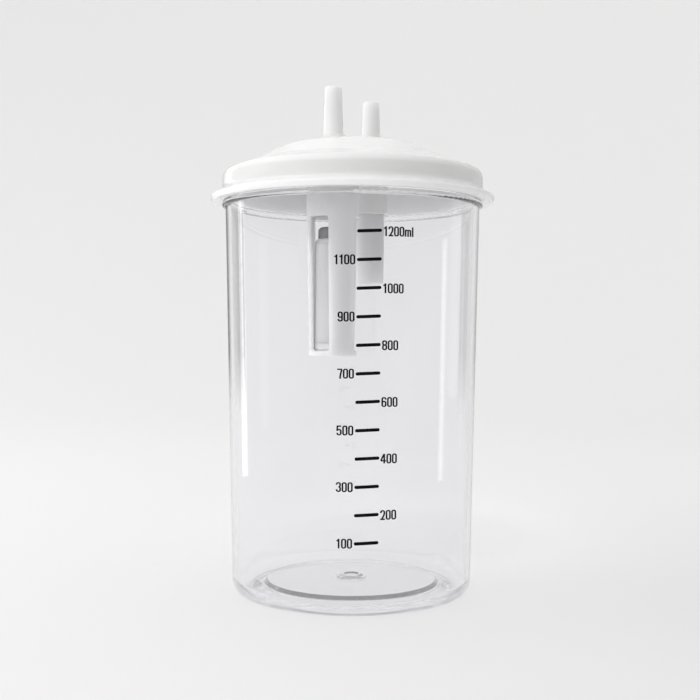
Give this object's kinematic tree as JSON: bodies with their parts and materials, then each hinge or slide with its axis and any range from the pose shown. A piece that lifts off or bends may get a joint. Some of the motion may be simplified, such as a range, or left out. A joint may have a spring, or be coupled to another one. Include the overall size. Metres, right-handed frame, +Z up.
{
  "type": "suction canister",
  "caption": "Clear drafted collecting jar with a volume scale, a white push-on lid with two hose nozzles, and a float shut-off valve in a slotted housing.",
  "frame": {"origin": "on the floor, at the middle of the jar's foot ring", "axes": "+Z up along the jar's axis; -Y is the front, where the volume scale is; +X to the right seen from the front"},
  "size_m": [0.1198, 0.1198, 0.2103],
  "materials": {
    "clear_jar": "clear, polished mould",
    "scale_ink": "printed ink",
    "white_lid": "satin moulded",
    "rim_rubber": "soft, matt",
    "natural_housing": "unpigmented, slightly translucent",
    "float_shell": "satin moulded",
    "valve_rubber": "soft, matt"
  },
  "bodies": {
    "canister": {"jar": "clear_jar", "scale_bars": "scale_ink"},
    "lid": {"lid": "white_lid", "rim_seal": "rim_rubber", "float_housing": "natural_housing", "drip_tube": "natural_housing"},
    "float": {"float_body": "float_shell", "float_base_cap": "float_shell", "float_seal": "valve_rubber"}
  },
  "joints": [
    {"name": "lid_lift", "type": "slide", "parent": "canister", "child": "lid", "axis": [0, 0, 1], "range_m": [0, 0.08]},
    {"name": "float_rise", "type": "slide", "parent": "lid", "child": "float", "axis": [0, 0, 1], "range_m": [0, 0.005]}
  ]
}
